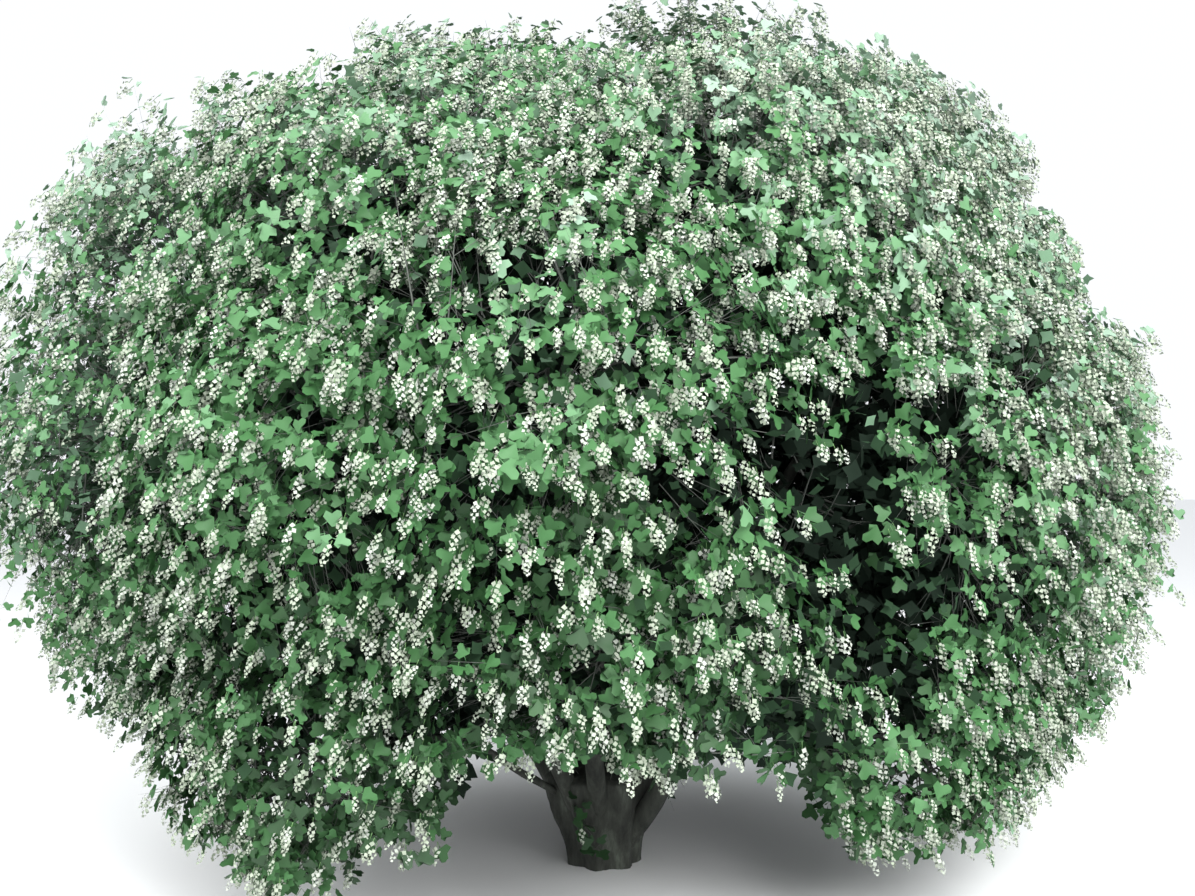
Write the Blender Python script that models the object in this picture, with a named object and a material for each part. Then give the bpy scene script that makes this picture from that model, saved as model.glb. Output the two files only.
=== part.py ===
# White flowering currant, a large domed shrub rooted in the ground.
# Metres, +Z up. The origin is the middle of the flat cut under the trunk, and the front faces -Y.
# A short fluted trunk carries boughs, the boughs carry limbs, and each bough or limb ends in one mass
# of foliage.

import math

import bmesh
import bpy
import numpy as np

GAP = 0.0003            # clearance where one piece meets the next
MASS_GAP = 0.012        # open crease between neighbouring masses
LIMB_CLEARANCE = 0.008  # between a mass and a limb that isn't its own
TIP_CLEARANCE = 0.0012  # between a mass's leaves and the plane of its own limb's tip
GROUND_CLEARANCE = 0.10
SEED = 73

# The trunk is a stool of fused stems, narrowest at the ground and widest where they part
TRUNK = {
    "foot_radius": 0.117,
    "fork_radius": 0.172,
    "height": 0.285,         # of the fork
    "crown_height": 0.3192,  # and the radius of the flat top between the boughs
    "crown_radius": 0.115,
    "flutes": 7,
    "flute_depth": 0.075,    # share of the radius
    "points_per_flute": 4,
    "twist": 1.2,            # radians that the flutes turn through up to the fork
    "lean": -0.07,           # sideways, towards -X, for each metre up
    "rings": 6,
}

# Tiers of the crown. Ring is the masses' distance from the trunk's axis. Facing is how far a mass
# looks up, and entry how steeply a limb climbs into it, in degrees above level. Half gives a mass's
# reach outwards, sideways and along its height.
TIERS = {
    "skirt": {"ring": 1.14, "height": 0.62, "facing": -8, "entry": 4, "half": (0.44, 0.64, 0.44)},
    "flank": {"ring": 1.24, "height": 1.36, "facing": 6, "entry": 30, "half": (0.49, 0.67, 0.62)},
    "shoulder": {"ring": 1.03, "height": 1.96, "facing": 38, "entry": 50, "half": (0.49, 0.66, 0.61)},
    "top": {"ring": 0.46, "height": 2.36, "facing": 72, "entry": 74, "half": (0.46, 0.64, 0.66)},
}

# Each mass: its tier, its bearing (0 is the front, 90 is +X), how far it stands out and up from
# its tier, its size beside its tier's, the limb it grows from and how far along that
MASSES = {
    "flank_front": ("flank", -7, -0.12, 0.18, 0.98, "trunk", 0),
    "flank_front_left": ("flank", -42, 0.00, 0.00, 0.93, "trunk", 0),
    "flank_front_right": ("flank", 58, -0.10, -0.04, 0.96, "trunk", 0),
    "flank_back": ("flank", 178, 0.00, 0.08, 1.10, "trunk", 0),
    "shoulder_left": ("shoulder", -85, 0.24, -0.04, 1.12, "trunk", 0),
    "shoulder_right": ("shoulder", 88, 0.07, -0.05, 0.88, "trunk", 0),
    "shoulder_back_left": ("shoulder", -145, -0.06, 0.03, 1.06, "trunk", 0),
    "shoulder_back_right": ("shoulder", 142, -0.06, 0.06, 1.06, "trunk", 0),
    "top_left": ("top", -98, -0.07, -0.01, 1.02, "trunk", 0),
    "top_right": ("top", 66, -0.10, 0.00, 1.06, "trunk", 0),
    "skirt_front_left": ("skirt", -51, -0.03, -0.08, 0.92, "trunk", 0),
    "skirt_front": ("skirt", 2, -0.13, 0.26, 1.02, "flank_front", 0.34),
    "skirt_front_right": ("skirt", 57, -0.08, -0.08, 0.90, "flank_front_right", 0.42),
    "skirt_right": ("skirt", 96, 0.23, 0.11, 1.04, "flank_right", 0.30),
    "skirt_back_right": ("skirt", 140, 0.02, 0.02, 1.08, "shoulder_back_right", 0.26),
    "skirt_back": ("skirt", 183, -0.02, 0.14, 1.00, "flank_back", 0.38),
    "skirt_back_left": ("skirt", -137, 0.04, 0.04, 1.08, "shoulder_back_left", 0.26),
    "skirt_left": ("skirt", -89, 0.32, 0.20, 0.90, "flank_left", 0.30),
    "flank_right": ("flank", 90, 0.07, -0.09, 1.14, "shoulder_right", 0.34),
    "flank_back_right": ("flank", 135, 0.02, -0.03, 1.12, "shoulder_back_right", 0.46),
    "flank_back_left": ("flank", -128, 0.05, 0.02, 1.16, "shoulder_back_left", 0.46),
    "flank_left": ("flank", -79, 0.15, 0.02, 1.24, "shoulder_left", 0.34),
    "shoulder_front_left": ("shoulder", -47, -0.11, 0.04, 1.00, "top_left", 0.46),
    "shoulder_front_right": ("shoulder", 36, -0.23, 0.10, 1.02, "top_right", 0.46),
    "top_far_right": ("top", 95, 0.48, -0.03, 0.76, "top_right", 0.62),
}

# Boughs leave the trunk, and limbs leave a bough or another limb. Radius is where one starts,
# tip_radius where its mass starts, and sway its bend to the side, as a share of its reach
BOUGH = {"radius": 0.036, "tip_radius": 0.017, "sides": 7, "segments": 5, "sway": 0.014}
LIMB = {"radius": 0.021, "tip_radius": 0.013, "sides": 5, "segments": 4, "sway": 0.012}
BOUGH_START = {"ring": 0.085, "height": 0.14, "tilt": 33}   # tilt in degrees from upright
BOUGH_STARTS = {
    # The boughs that leave the stool in their own way
    "flank_front_right": {"ring": 0.055, "height": 0.055, "tilt": 46, "radius": 0.042},
    "skirt_front_left": {"bearing": -64, "ring": 0.10, "height": 0.205, "tilt": 60, "radius": 0.0135},
    "top_left": {"ring": 0.035, "height": 0.16, "tilt": 6},
    "top_right": {"ring": 0.035, "height": 0.16, "tilt": 6},
}
PATH = {
    "first_handle": 0.40,    # lengths of the curve's handles, as shares of its reach
    "last_handle": 0.35,
    "taper_power": 0.75,
    "sway_turn": 5.0,        # radians that the sway turns through along the way
    "start_share": 0.80,     # thickest a limb starts, beside what carries it there
    "tip_share": 0.80,       # thickest a tip is, beside its own start
    "steer": 0.9,            # how strongly a limb leaves towards its own mass
}
CUT_GROWTH = {"trunk": 1.4, "limb": 1.2}   # gaps that a cutter grows by, its faces being flat
ENTRY_SHARE = 0.90      # how far out from its mass's middle, beside the reach, a limb ends

# Neighbouring masses that stand further apart, so that the dark inside shows between them
OPEN_CREASES = {
    frozenset(("flank_front", "flank_front_right")): 0.10,
    frozenset(("flank_front", "skirt_front")): 0.05,
    frozenset(("flank_front_left", "skirt_front_left")): 0.08,
    frozenset(("flank_left", "skirt_left")): 0.07,
    frozenset(("skirt_front", "skirt_front_right")): 0.07,
    frozenset(("skirt_front", "flank_front_right")): 0.08,
}

# Foliage: lengths in metres, and shares of a mass's reach in that direction. The core is a lumpy
# ball that eases from the ellipsoid's round into the flats of the planes
CORE = {"share": 0.75, "plane_share": 0.99, "ease": 7, "lump": 0.12}
STEM = {"end_share": 0.15, "taper": 0.6}
TWIG = {
    "count": 31,
    "radius": 0.011,
    "tip_radius": 0.007,
    "sides": 3,
    "lowest_start": 0.6,     # the first place along the stem that a twig leaves from
    "long_every": 3,
    "long_share": 0.84,
    "short_share": 0.66,
    "inward_limit": 0.05,    # none grows back towards the middle of the crown
    "open_limit": 0.80,      # nor where a neighbour takes more than the rest of its way
    "fewer": (0, 2, 4, 6),   # twigs left out until the union closes
}
LEAF = {
    "length": 0.28,
    "width": 0.27,
    "thickness": 0.016,
    "widest": 0.50,          # shares of the length
    "hub": 0.46,
    "sunk": 0.03,
    "vary": 0.15,
    "spacing": 0.085,        # along the twig
    "last_share": 0.8,       # how far back along the twig a leaf can sit
    "forward": 0.55,         # its direction: this much of the twig's and this much sideways
    "sideways": 0.85,
    "skyward": 0.35,         # its face: outwards, with this much up and this much by chance
    "scatter": 0.25,
    "sizes": (1.0, 0.8, 0.62),
}
RACEME = {"length": 0.160, "radius": 0.030, "sunk": 0.014, "fullest": 0.36, "swing": 0.15, "back": 0.012}
SHOOT = {"radius": 0.008, "tip_radius": 0.004, "start_share": 0.3, "end_share": 0.95,
         "leaf_scale": 0.60, "leaves": 2}

# Long shoots that carry the outline's furthest tips: bearing, degrees above level, and reach
# beside the mass's own
SHOOTS = {
    "shoulder_left": ((-100, 40, 1.12), (-60, 76, 1.10)),
    "shoulder_front_left": ((-105, 48, 1.16),),
    "top_left": ((-90, 58, 1.14), (96, 66, 1.02)),
    "top_right": ((-74, 62, 1.02), (-60, 82, 1.08), (100, 66, 1.08)),
    "top_far_right": ((98, 38, 1.26),),
    "shoulder_right": ((84, 12, 1.04),),
    "flank_right": ((92, 36, 1.10), (80, -6, 1.06)),
    "flank_left": ((-80, 2, 1.06),),
    "skirt_left": ((-84, -38, 1.10),),
    "skirt_front_left": ((-100, -20, 1.24), (-20, -64, 1.06)),
    "skirt_right": ((92, -12, 1.08),),
    "skirt_front": ((40, -62, 1.14),),
}
SHOOT_LIMIT = 1.30      # no shoot goes further than this past its mass's reach

CROWN_MIDDLE = np.array((0.0, 0.0, 1.25))
UP = np.array((0.0, 0.0, 1.0))
GOLDEN_ANGLE = math.pi * (3 - math.sqrt(5))

# Base colour and roughness
COLOURS = {
    "bark": ((0.105, 0.098, 0.085), 0.90),
    "foliage": ((0.060, 0.135, 0.066), 0.62),
}


# Small vector helpers

def unit(vector):
    return vector / np.linalg.norm(vector)


def bearing_direction(bearing, elevation=0.0):
    """A unit vector from a compass bearing and degrees above level."""
    turn = math.radians(bearing)
    rise = math.radians(elevation)
    level = math.cos(rise)
    return np.array((math.sin(turn) * level, -math.cos(turn) * level, math.sin(rise)))


def square_frame(direction):
    """Two unit vectors that stand square to a direction and to each other."""
    helper = UP if abs(direction[2]) < 0.9 else np.array((1.0, 0.0, 0.0))
    side = unit(np.cross(helper, direction))
    return side, np.cross(direction, side)


def even_directions(count, turn):
    """Directions spread evenly over a sphere by the golden angle."""
    for index in range(count):
        height = 1 - 2 * (index + 0.5) / count
        ring = math.sqrt(1 - height * height)
        angle = GOLDEN_ANGLE * index + turn
        yield np.array((ring * math.cos(angle), ring * math.sin(angle), height))


# Mesh helpers

def clear_scene():
    for old in list(bpy.data.objects):
        bpy.data.objects.remove(old, do_unlink=True)


def material(name):
    colour, roughness = COLOURS[name]
    finish = bpy.data.materials.get(name) or bpy.data.materials.new(name)
    finish.use_nodes = True
    shader = finish.node_tree.nodes["Principled BSDF"]
    shader.inputs["Base Color"].default_value = (*colour, 1.0)
    shader.inputs["Roughness"].default_value = roughness
    shader.inputs["Metallic"].default_value = 0.0
    finish.diffuse_color = (*colour, 1.0)
    return finish


def mesh_object(name, points, faces, collection=None):
    """An object from points and faces, with its faces turned to point outwards."""
    mesh = bpy.data.meshes.new(name)
    mesh.from_pydata([tuple(point) for point in points], [], faces)
    form = bmesh.new()
    form.from_mesh(mesh)
    bmesh.ops.recalc_face_normals(form, faces=form.faces)
    form.to_mesh(mesh)
    form.free()
    made = bpy.data.objects.new(name, mesh)
    (collection or bpy.context.scene.collection).objects.link(made)
    return made


def tube(rings):
    """Points and faces of a closed tube through rings that have the same number of points.

    The walls are triangles, so that a tube and its cutter are always folded along the same lines.
    """
    sides = len(rings[0])
    points = [point for ring in rings for point in ring]
    faces = [list(range(sides)), list(range(len(points) - sides, len(points)))]
    for level in range(len(rings) - 1):
        low = level * sides
        for side in range(sides):
            after = (side + 1) % sides
            faces.append([low + side, low + after, low + sides + after])
            faces.append([low + side, low + sides + after, low + sides + side])
    return points, faces


def keep_main_body(mesh):
    """Keep the largest closed body: sealed hollows are filled and loose scraps dropped."""
    form = bmesh.new()
    form.from_mesh(mesh)
    waiting = set(form.faces)
    bodies = []
    while waiting:
        body = {waiting.pop()}
        edge_of_body = list(body)
        while edge_of_body:
            near = {other for edge in edge_of_body.pop().edges for other in edge.link_faces}
            fresh = near & waiting
            waiting -= fresh
            body |= fresh
            edge_of_body.extend(fresh)
        bodies.append(body)
    main = max(bodies, key=lambda body: sum(face.calc_area() for face in body))
    loose = [face for body in bodies if body is not main for face in body]
    bmesh.ops.delete(form, geom=loose, context="FACES")
    closed = all(edge.is_manifold for edge in form.edges)
    form.to_mesh(mesh)
    form.free()
    return closed


def combine(target, operation, solver, other=None, collection=None):
    """Apply one Boolean to an object and say whether the result is one closed body."""
    step = target.modifiers.new(operation.title(), "BOOLEAN")
    step.operation = operation
    step.solver = solver
    if collection is None:
        step.object = other
    else:
        step.operand_type = "COLLECTION"
        step.collection = collection
    depsgraph = bpy.context.evaluated_depsgraph_get()
    result = bpy.data.meshes.new_from_object(target.evaluated_get(depsgraph))
    target.modifiers.remove(step)
    closed = len(result.polygons) > 0 and keep_main_body(result)
    return result, closed


# The trunk

def trunk_ring(height, radius, grow):
    """One fluted ring of the trunk, its radius swelling once for each fused stem."""
    count = TRUNK["flutes"] * TRUNK["points_per_flute"]
    middle = np.array((TRUNK["lean"] * height, 0.0, height))
    ring = []
    for index in range(count):
        angle = 2 * math.pi * index / count
        turned = TRUNK["flutes"] * angle + TRUNK["twist"] * height / TRUNK["height"]
        swell = 1 + TRUNK["flute_depth"] * math.cos(turned)
        out = radius * swell + grow
        ring.append(middle + out * np.array((math.cos(angle), math.sin(angle), 0.0)))
    return ring


def trunk_rings(grow=0.0):
    rings = []
    for level in range(TRUNK["rings"]):
        share = level / (TRUNK["rings"] - 1)
        ease = share * share * (3 - 2 * share)
        radius = TRUNK["foot_radius"] + (TRUNK["fork_radius"] - TRUNK["foot_radius"]) * ease
        rings.append(trunk_ring(share * TRUNK["height"], radius, grow))
    rings.append(trunk_ring(TRUNK["crown_height"] + grow, TRUNK["crown_radius"], grow))
    return rings


# Limbs

class Limb:
    """One tapering limb: a smooth path from what carries it to the tip where its mass starts."""

    def __init__(self, name, sizes, start, start_direction, tip, tip_direction, chance):
        self.name = name
        self.sides = sizes["sides"]
        reach = np.linalg.norm(tip - start)
        first_handle = start + start_direction * reach * PATH["first_handle"]
        last_handle = tip - tip_direction * reach * PATH["last_handle"]
        side, across = square_frame(unit(tip - start))
        phase = chance.uniform(0, 2 * math.pi)
        self.points = []
        self.radii = []
        for index in range(sizes["segments"] + 1):
            t = index / sizes["segments"]
            back = 1 - t
            point = back**3 * start + 3 * back**2 * t * first_handle
            point = point + 3 * back * t**2 * last_handle + t**3 * tip
            sway = sizes["sway"] * reach * math.sin(math.pi * t)**2
            turn = phase + PATH["sway_turn"] * t
            point = point + sway * (math.cos(turn) * side + math.sin(turn) * across)
            taper = (sizes["tip_radius"] - sizes["radius"]) * t**PATH["taper_power"]
            self.points.append(point)
            self.radii.append(sizes["radius"] + taper)
        self.tip_direction = tip_direction

    def at(self, share):
        """The point, radius and direction some way along the limb."""
        place = share * (len(self.points) - 1)
        index = min(int(place), len(self.points) - 2)
        blend = place - index
        point = self.points[index] * (1 - blend) + self.points[index + 1] * blend
        radius = self.radii[index] * (1 - blend) + self.radii[index + 1] * blend
        return point, radius, unit(self.points[index + 1] - self.points[index])

    def rings(self, grow=0.0):
        """Rings square to the path, turned as little as possible from one to the next."""
        last = len(self.points) - 1
        side = square_frame(unit(self.points[1] - self.points[0]))[0]
        rings = []
        for index, (point, radius) in enumerate(zip(self.points, self.radii)):
            before = self.points[max(index - 1, 0)]
            after = self.points[min(index + 1, last)]
            along = self.tip_direction if index == last else unit(after - before)
            side = unit(side - np.dot(side, along) * along)
            across = np.cross(along, side)
            ring = []
            for step in range(self.sides):
                angle = 2 * math.pi * step / self.sides
                out = math.cos(angle) * side + math.sin(angle) * across
                ring.append(point + (radius + grow) * out)
            rings.append(ring)
        return rings


def grow_limbs(masses):
    """Every mass's limb, each from the trunk or from a limb made before it."""
    limbs = {}
    waiting = list(MASSES)
    while waiting:
        name = waiting.pop(0)
        parent, share = MASSES[name][5:]
        chance = np.random.default_rng([SEED, len(limbs)])
        tip, tip_direction = masses[name].entry
        if parent == "trunk":
            begin = {**BOUGH_START, **BOUGH_STARTS.get(name, {})}
            sizes = {**BOUGH, "radius": begin.get("radius", BOUGH["radius"])}
            sizes["tip_radius"] = min(sizes["tip_radius"], PATH["tip_share"] * sizes["radius"])
            bearing = begin.get("bearing", MASSES[name][1])
            start = bearing_direction(bearing) * begin["ring"] + UP * begin["height"]
            direction = bearing_direction(bearing, 90 - begin["tilt"])
            limbs[name] = Limb("bough_" + name, sizes, start, direction, tip, tip_direction, chance)
        elif parent in limbs:
            start, radius, along = limbs[parent].at(share)
            sizes = {**LIMB, "radius": min(LIMB["radius"], PATH["start_share"] * radius)}
            direction = unit(along + PATH["steer"] * unit(tip - start))
            limbs[name] = Limb("limb_" + name, sizes, start, direction, tip, tip_direction, chance)
        else:
            waiting.append(name)
    return limbs


# Foliage

class Mass:
    """A mass's own space: an ellipsoid cut by planes towards its neighbours, limbs and the ground."""

    def __init__(self, name):
        tier_name, bearing, out, up, size = MASSES[name][:5]
        tier = TIERS[tier_name]
        self.name = name
        self.middle = bearing_direction(bearing) * (tier["ring"] + out) + UP * (tier["height"] + up)
        outward = bearing_direction(bearing, tier["facing"])
        self.axes = np.array((outward, *square_frame(outward)))
        self.half = np.array(tier["half"]) * size
        direction = bearing_direction(bearing, tier["entry"])
        tip = self.middle - direction * self.reach(direction) * ENTRY_SHARE
        self.entry = (tip, direction)
        self.planes = []

    def depth(self, away):
        """How deep a point lies, from 0 in the middle to 1 on the ellipsoid."""
        return np.linalg.norm(self.axes @ away / self.half)

    def reach(self, direction):
        """How far the ellipsoid goes in a direction."""
        return 1 / self.depth(direction)

    def support(self, direction):
        """How far off a plane square to a direction touches the ellipsoid."""
        return np.linalg.norm(self.axes @ direction * self.half)

    def stay_clear(self, masses, limbs):
        """Set the planes that this mass's leaves and twigs never cross."""
        for other in masses.values():
            if other is not self:
                apart = other.middle - self.middle
                distance = np.linalg.norm(apart)
                normal = apart / distance
                share = self.support(normal) / (self.support(normal) + other.support(normal))
                gap = OPEN_CREASES.get(frozenset((self.name, other.name)), MASS_GAP)
                self.planes.append((normal, distance * share - gap / 2))
        for name, limb in limbs.items():
            if name != self.name:
                self.clear_limb(limb)
        tip, direction = self.entry
        self.planes.append((-direction, np.dot(direction, self.middle - tip) - TIP_CLEARANCE))
        self.planes.append((-UP, self.middle[2] - GROUND_CLEARANCE))

    def clear_limb(self, limb):
        for index in range(len(limb.points) - 1):
            begin, finish = limb.points[index], limb.points[index + 1]
            run = finish - begin
            share = np.dot(self.middle - begin, run) / np.dot(run, run)
            nearest = begin + min(max(share, 0.0), 1.0) * run
            apart = nearest - self.middle
            distance = np.linalg.norm(apart)
            radius = max(limb.radii[index], limb.radii[index + 1])
            if distance < SHOOT_LIMIT * max(self.half) + radius:
                self.planes.append((apart / distance, distance - radius - LIMB_CLEARANCE))

    def plane_reach(self, direction):
        """How far the planes let a line go from the middle."""
        reach = math.inf
        for normal, offset in self.planes:
            lean = np.dot(normal, direction)
            if lean > 1e-6:
                reach = min(reach, offset / lean)
        return reach

    def holds(self, points, limit=1.0):
        """Whether all the points are in this mass's space, or within limit times its reach."""
        for point in points:
            away = point - self.middle
            if self.depth(away) > limit:
                return False
            if any(np.dot(normal, away) > offset for normal, offset in self.planes):
                return False
        return True


def lumpy_core(mass, chance):
    """A faceted ball that fills the middle of a mass, and that its leaves stand out of."""
    form = bmesh.new()
    bmesh.ops.create_icosphere(form, subdivisions=2, radius=1.0)
    points = []
    for corner in form.verts:
        direction = unit(np.array(corner.co))
        lump = 1 + chance.uniform(-CORE["lump"], CORE["lump"])
        round_reach = CORE["share"] * lump * mass.reach(direction)
        flat_reach = CORE["plane_share"] * mass.plane_reach(direction)
        reach = (round_reach**-CORE["ease"] + flat_reach**-CORE["ease"])**(-1 / CORE["ease"])
        points.append(mass.middle + direction * reach)
    faces = [[corner.index for corner in face.verts] for face in form.faces]
    form.free()
    return points, faces


def stick(start, end, radius, tip_radius, sides=TWIG["sides"]):
    """A tapering straight twig."""
    side, across = square_frame(unit(end - start))
    rings = []
    for middle, size in ((start, radius), (end, tip_radius)):
        angles = [2 * math.pi * step / sides for step in range(sides)]
        rings.append([middle + size * (math.cos(a) * side + math.sin(a) * across) for a in angles])
    return tube(rings)


def leaf(root, direction, facing, scale):
    """A thick leaf: a kite of four points between a raised hub on its face and one on its back."""
    length = LEAF["length"] * scale
    across = unit(np.cross(facing, direction)) * LEAF["width"] * scale / 2
    normal = unit(np.cross(direction, across)) * LEAF["thickness"] / 2
    widest = root + direction * length * LEAF["widest"]
    points = [root, widest + across, root + direction * length, widest - across]
    hub = root + direction * length * LEAF["hub"]
    points += [hub + normal, hub - normal]
    faces = []
    for step in range(4):
        after = (step + 1) % 4
        faces += [[step, after, 4], [after, step, 5]]
    return points, faces


def raceme(top, chance):
    """A hanging flower cluster: a slim spindle, fullest a third of the way down."""
    swing = RACEME["swing"]
    drop = unit(np.array((chance.uniform(-swing, swing), chance.uniform(-swing, swing), -1.0)))
    side, across = square_frame(drop)
    full = top + drop * RACEME["length"] * RACEME["fullest"]
    points = [top, top + drop * RACEME["length"]]
    for step in range(3):
        angle = 2 * math.pi * step / 3
        points.append(full + RACEME["radius"] * (math.cos(angle) * side + math.sin(angle) * across))
    faces = []
    for step in range(3):
        after = (step + 1) % 3
        faces += [[0, 2 + step, 2 + after], [1, 2 + after, 2 + step]]
    return points, faces


def leaf_on_twig(mass, place, along, side_turn, scale, limit, chance):
    """A leaf that leaves a twig sideways, or nothing where it would leave the mass's space."""
    outward = unit(place - mass.middle)
    side, across = square_frame(along)
    sideways = math.cos(side_turn) * side + math.sin(side_turn) * across
    direction = unit(along * LEAF["forward"] + sideways * LEAF["sideways"])
    facing = outward + LEAF["skyward"] * UP + LEAF["scatter"] * chance.uniform(-1, 1, 3)
    root = place - direction * LEAF["sunk"]
    for shrink in LEAF["sizes"]:
        points, faces = leaf(root, direction, facing, scale * shrink)
        if mass.holds(points, limit):
            return points, faces
    return None


def twig_pieces(mass, start, end, sizes, leaves, scale, limit, with_raceme, chance):
    """A twig with leaves set round it by the golden angle, and a raceme under its tip."""
    along = unit(end - start)
    length = np.linalg.norm(end - start)
    pieces = [stick(start, end, sizes["radius"], sizes["tip_radius"])]
    turn = chance.uniform(0, 2 * math.pi)
    for index in range(leaves):
        place = end - along * min(LEAF["spacing"] * scale * index, LEAF["last_share"] * length)
        size = scale * (1 + chance.uniform(-LEAF["vary"], LEAF["vary"]))
        made = leaf_on_twig(mass, place, along, turn + GOLDEN_ANGLE * index, size, limit, chance)
        if made:
            pieces.append(made)
    if with_raceme:
        hanging = raceme(end + UP * RACEME["sunk"] - along * RACEME["back"], chance)
        if mass.holds(hanging[0], limit):
            pieces.append(hanging)
    return pieces


def foliage_pieces(mass, limb, fewer):
    """The stem, core, twigs, leaves and racemes of one mass, each a closed form."""
    chance = np.random.default_rng([SEED, 1000 + list(MASSES).index(mass.name)])
    tip, direction = mass.entry
    stem_start = tip + direction * GAP
    stem_end = mass.middle + direction * STEM["end_share"] * mass.reach(direction)
    pieces = [lumpy_core(mass, chance)]
    pieces.append(stick(stem_start, stem_end, limb.radii[-1], limb.radii[-1] * STEM["taper"], limb.sides))
    outward = unit(mass.middle - CROWN_MIDDLE)
    headings = even_directions(TWIG["count"] - fewer, chance.uniform(0, 2 * math.pi))
    for index, heading in enumerate(headings):
        reach = min(mass.reach(heading), mass.plane_reach(heading))
        open_share = reach / mass.reach(heading)
        if np.dot(heading, outward) < TWIG["inward_limit"] or open_share < TWIG["open_limit"]:
            continue
        is_long = index % TWIG["long_every"] == 0
        start = stem_start + (stem_end - stem_start) * chance.uniform(TWIG["lowest_start"], 1.0)
        end = mass.middle + heading * reach * TWIG["long_share" if is_long else "short_share"]
        pieces += twig_pieces(mass, start, end, TWIG, 1, 1.0, 1.0, is_long, chance)
    for bearing, elevation, reach in SHOOTS.get(mass.name, ()):
        heading = bearing_direction(bearing, elevation)
        end = mass.middle + heading * mass.reach(heading) * reach * SHOOT["end_share"]
        start = mass.middle + heading * SHOOT["start_share"] * mass.reach(heading)
        if mass.holds([end], SHOOT_LIMIT):
            scale = SHOOT["leaf_scale"]
            pieces += twig_pieces(mass, start, end, SHOOT, SHOOT["leaves"], scale, SHOOT_LIMIT, False, chance)
    return pieces


def fuse(name, pieces):
    """One Boolean union of a mass's first form with all its others."""
    extras = bpy.data.collections.new(name + "_pieces")
    bpy.context.scene.collection.children.link(extras)
    made = mesh_object(name, *pieces[0])
    for index, (points, faces) in enumerate(pieces[1:]):
        mesh_object(f"{name}_piece_{index}", points, faces, extras)
    for solver in ("EXACT", "MANIFOLD"):
        result, closed = combine(made, "UNION", solver, collection=extras)
        if closed:
            break
    for piece in list(extras.objects):
        bpy.data.objects.remove(piece, do_unlink=True)
    bpy.data.collections.remove(extras)
    if not closed:
        bpy.data.objects.remove(made, do_unlink=True)
        return None
    made.data = result
    return made


# Building

def build_trunk():
    made = mesh_object("trunk", *tube(trunk_rings()))
    made.data.materials.append(material("bark"))


def build_limbs(limbs):
    """Each limb, its foot cut to sit against what carries it."""
    for name, limb in limbs.items():
        parent = MASSES[name][5]
        if parent == "trunk":
            rings = trunk_rings(CUT_GROWTH["trunk"] * GAP)
        else:
            rings = limbs[parent].rings(CUT_GROWTH["limb"] * GAP)
        cutter = mesh_object("cutter", *tube(rings))
        made = mesh_object(limb.name, *tube(limb.rings()))
        made.data = combine(made, "DIFFERENCE", "EXACT", other=cutter)[0]
        bpy.data.objects.remove(cutter, do_unlink=True)
        made.data.materials.append(material("bark"))


def build_foliage(masses, limbs):
    for name, mass in masses.items():
        for fewer in TWIG["fewer"]:
            made = fuse("foliage_" + name, foliage_pieces(mass, limbs[name], fewer))
            if made:
                break
        made.data.materials.append(material("foliage"))


def main():
    clear_scene()
    masses = {name: Mass(name) for name in MASSES}
    limbs = grow_limbs(masses)
    for mass in masses.values():
        mass.stay_clear(masses, limbs)
    build_trunk()
    build_limbs(limbs)
    build_foliage(masses, limbs)


main()
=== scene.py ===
# White flowering currant in bloom: bark, twigs, lobed leaves and hanging white flower clusters

import math

import bpy
import numpy as np
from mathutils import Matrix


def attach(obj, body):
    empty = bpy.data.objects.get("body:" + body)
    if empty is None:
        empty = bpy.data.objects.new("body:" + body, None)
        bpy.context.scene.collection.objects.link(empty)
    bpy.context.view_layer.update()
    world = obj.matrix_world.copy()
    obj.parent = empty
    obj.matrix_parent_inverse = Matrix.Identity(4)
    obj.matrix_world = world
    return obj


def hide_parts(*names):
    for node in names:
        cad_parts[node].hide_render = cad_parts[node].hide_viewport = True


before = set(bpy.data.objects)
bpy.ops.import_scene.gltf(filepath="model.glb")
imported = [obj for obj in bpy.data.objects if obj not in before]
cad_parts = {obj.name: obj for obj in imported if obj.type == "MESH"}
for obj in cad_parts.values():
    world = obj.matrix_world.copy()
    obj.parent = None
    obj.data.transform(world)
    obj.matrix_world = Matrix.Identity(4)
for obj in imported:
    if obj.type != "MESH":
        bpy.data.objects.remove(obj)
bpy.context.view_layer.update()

nodeNames = sorted(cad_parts)

# The crown's plan: the same tiers, masses and limbs that the solids are grown from, in metres

plan = {
    "seed": 73,
    "streams": {                 # each has its own random numbers, and so has each limb and each mass
        "limbs": 0, "leaves": 31, "gaps": 41, "bare": 43, "sticks": 47, "inside": 77, "bloom": 91,
        "masses": 2000,
    },
    "massGap": 0.004,            # between neighbouring masses whose crease is closed
    "groundClearance": 0.06,
    "entryShare": 0.90,          # how far out from its mass's middle a limb ends
    "crownMiddle": (0.0, 0.0, 1.25),
    "crownHalf": (2.0, 1.65, 1.6),
}

tiers = {
    "skirt": {"ring": 1.14, "height": 0.62, "facing": -8, "entry": 4, "half": (0.44, 0.64, 0.44)},
    "flank": {"ring": 1.24, "height": 1.36, "facing": 6, "entry": 30, "half": (0.49, 0.67, 0.62)},
    "shoulder": {"ring": 1.03, "height": 1.96, "facing": 38, "entry": 50, "half": (0.49, 0.66, 0.61)},
    "top": {"ring": 0.46, "height": 2.36, "facing": 72, "entry": 74, "half": (0.46, 0.64, 0.66)},
}

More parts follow.
